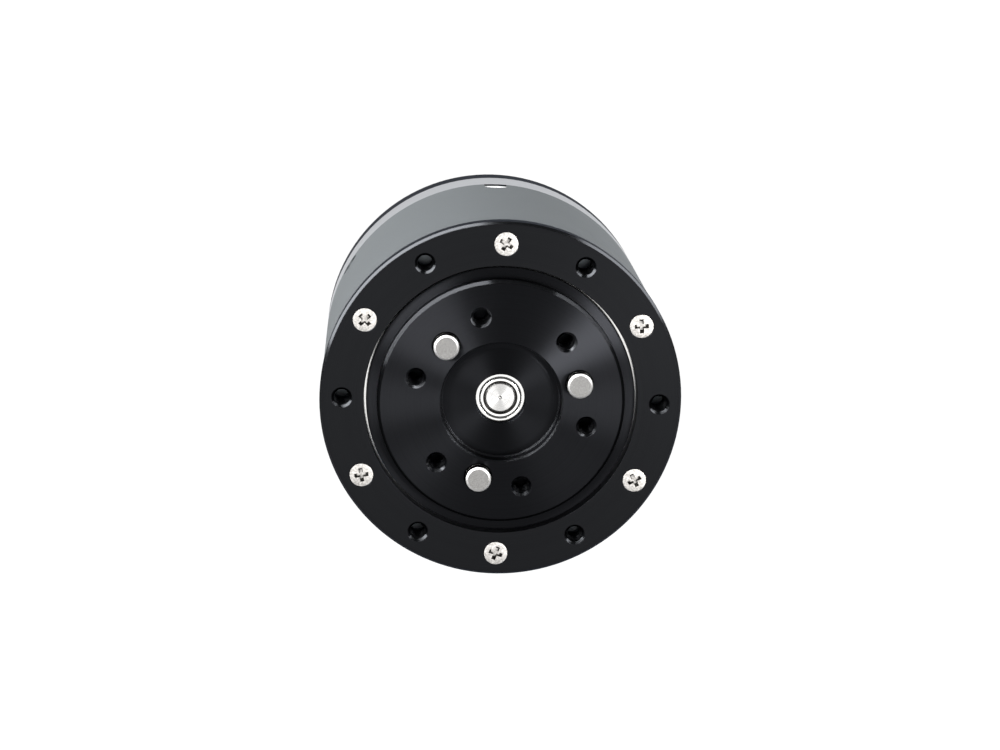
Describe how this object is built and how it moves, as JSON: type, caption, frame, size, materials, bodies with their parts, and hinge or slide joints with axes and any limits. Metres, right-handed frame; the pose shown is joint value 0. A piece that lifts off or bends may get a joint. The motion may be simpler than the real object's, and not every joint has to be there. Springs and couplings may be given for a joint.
{
  "type": "robot joint actuator",
  "caption": "Round geared joint actuator: outrunner motor, single planetary stage and driver board in a cylindrical housing, with a flanged output that turns inside the front cover.",
  "frame": {"origin": "centre of the flat rear face, on the output axis", "axes": "+Z along the output axis, from the rear face to the output flange; +Y through one cover screw; +X through one mounting-hole gap, right-handed"},
  "size_m": [0.057, 0.057, 0.055],
  "materials": {
    "black_anodised": "black anodised, turned",
    "grey_anodised": "dark grey anodised, turned",
    "silver_anodised": "clear anodised, satin",
    "nickel_plated": "nickel plated",
    "gear_steel": "cut and oiled",
    "ground_steel": "ground",
    "bearing_steel": "ground and polished",
    "plain_aluminium": "milled",
    "bell_steel": "nickel plated, turned",
    "magnet_nickel": "nickel plated",
    "lamination_steel": "stacked laminations",
    "enamelled_copper": "enamelled winding wire",
    "circuit_board": "solder mask",
    "spacer_brass": "turned",
    "chip_plastic": "moulded",
    "socket_yellow": "moulded",
    "socket_white": "moulded"
  },
  "bodies": {
    "root": {"front_cover": "black_anodised", "cover_screws": "nickel_plated", "barrel_housing": "grey_anodised", "rear_housing": "silver_anodised", "rear_cover": "black_anodised", "rear_cover_screws": "nickel_plated", "ring_gear": "gear_steel", "output_bearing_outer_ring": "bearing_steel", "rear_bearing_outer_ring": "bearing_steel", "stator_core": "lamination_steel", "stator_coils": "enamelled_copper", "driver_board": "circuit_board", "board_spacers": "spacer_brass", "power_transistors": "chip_plastic", "power_socket": "socket_yellow", "signal_socket_1": "socket_white", "signal_socket_2": "socket_white", "rotation_sensor": "chip_plastic"},
    "rotor": {"sun_shaft": "ground_steel", "rotor_bell": "bell_steel", "rotor_magnets": "magnet_nickel", "centre_bearing_inner_ring": "bearing_steel", "rear_bearing_inner_ring": "bearing_steel", "sensor_magnet": "magnet_nickel"},
    "output": {"output_flange": "black_anodised", "carrier_rear_plate": "plain_aluminium", "planet_pins": "ground_steel", "output_bearing_inner_ring": "bearing_steel", "centre_bearing_outer_ring": "bearing_steel"},
    "planet_1": {"planet_gear_1": "gear_steel"},
    "planet_2": {"planet_gear_2": "gear_steel"},
    "planet_3": {"planet_gear_3": "gear_steel"}
  },
  "joints": [
    {"name": "rotor_spin", "type": "hinge", "parent": "root", "child": "rotor", "pos_m": [0, 0, 0.0121], "axis": [0, 0, 1], "continuous": true},
    {"name": "output_spin", "type": "hinge", "parent": "root", "child": "output", "pos_m": [0, 0, 0.0473], "axis": [0, 0, 1], "continuous": true},
    {"name": "planet_1_spin", "type": "hinge", "parent": "output", "child": "planet_1", "pos_m": [0.01217, 0.00326, 0.0396], "axis": [0, 0, 1], "continuous": true},
    {"name": "planet_2_spin", "type": "hinge", "parent": "output", "child": "planet_2", "pos_m": [-0.00891, 0.00891, 0.0396], "axis": [0, 0, 1], "continuous": true},
    {"name": "planet_3_spin", "type": "hinge", "parent": "output", "child": "planet_3", "pos_m": [-0.00326, -0.01217, 0.0396], "axis": [0, 0, 1], "continuous": true}
  ],
  "couplings": [
    {"joint": "output_spin", "follows": "rotor_spin", "ratio": 0.16667},
    {"joint": "planet_1_spin", "follows": "rotor_spin", "ratio": -0.41667},
    {"joint": "planet_2_spin", "follows": "rotor_spin", "ratio": -0.41667},
    {"joint": "planet_3_spin", "follows": "rotor_spin", "ratio": -0.41667}
  ]
}
